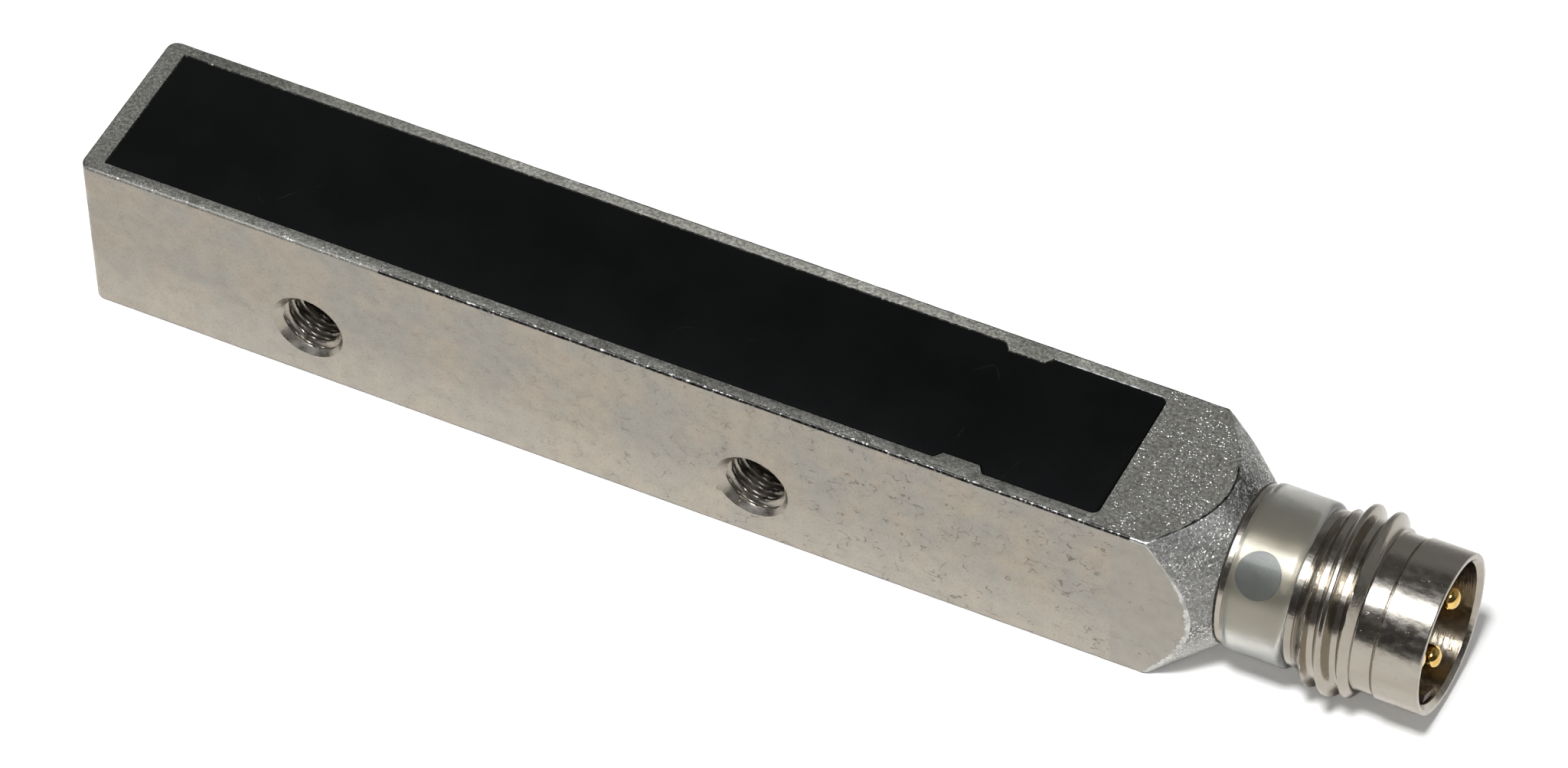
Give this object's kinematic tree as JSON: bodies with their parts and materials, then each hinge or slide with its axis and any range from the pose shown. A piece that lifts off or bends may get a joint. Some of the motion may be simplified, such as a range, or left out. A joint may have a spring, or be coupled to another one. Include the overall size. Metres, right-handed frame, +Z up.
{
  "type": "inductive proximity sensor",
  "caption": "Square metal bar proximity sensor with a flush black sensing cover, threaded cross holes and a threaded plug connector with a clear light ring.",
  "frame": {"origin": "on the flat bottom of the bar, under the middle of the overall length and width", "axes": "+X along the bar from the sensing end to the plug, +Z up through the black sensing cover, cross holes along Y"},
  "size_m": [0.06, 0.008, 0.008],
  "materials": {
    "nickel_plate": "satin nickel plate on a die-cast bar, grained top and cone",
    "black_cover": "matte black moulding",
    "black_rubber": "matte black",
    "bright_plate": "bright nickel plate, turned",
    "clear_plastic": "clear to milky, glossy",
    "dark_insulator": "dark brown moulding",
    "gold_plate": "polished gold plate",
    "ferrite": "sintered, dark grey",
    "white_plastic": "moulded",
    "enamelled_copper": "enamelled copper wire",
    "copper_foil": "bare copper",
    "board_laminate": "green lacquered laminate",
    "black_moulding": "black moulding",
    "yellow_moulding": "yellow moulding",
    "tan_ceramic": "tan ceramic",
    "lamp_resin": "lamp resin, unlit",
    "brown_insulation": "brown wire insulation",
    "blue_insulation": "blue wire insulation",
    "black_insulation": "black wire insulation",
    "grey_resin": "cast grey resin"
  },
  "bodies": {
    "root": {"housing": "nickel_plate", "active_cover": "black_cover", "seal_ring": "black_rubber", "connector_shell": "bright_plate", "light_ring": "clear_plastic", "contact_carrier": "dark_insulator", "contact_pin_1": "gold_plate", "contact_pin_3": "gold_plate", "contact_pin_4": "gold_plate", "ferrite_core": "ferrite", "coil_bobbin": "white_plastic", "coil_winding": "enamelled_copper", "coil_lead_start": "enamelled_copper", "coil_lead_end": "enamelled_copper", "shield_ring": "copper_foil", "circuit_board": "board_laminate", "light_board": "board_laminate", "oscillator_chip": "black_moulding", "voltage_regulator": "black_moulding", "output_transistor": "black_moulding", "polarity_diode": "black_moulding", "surge_diode": "black_moulding", "storage_capacitor": "yellow_moulding", "chip_resistors": "black_moulding", "chip_capacitors": "tan_ceramic", "status_light_1": "lamp_resin", "status_light_2": "lamp_resin", "status_light_3": "lamp_resin", "status_light_4": "lamp_resin", "supply_wire": "brown_insulation", "ground_wire": "blue_insulation", "signal_wire": "black_insulation", "potting_resin": "grey_resin"}
  },
  "joints": []
}
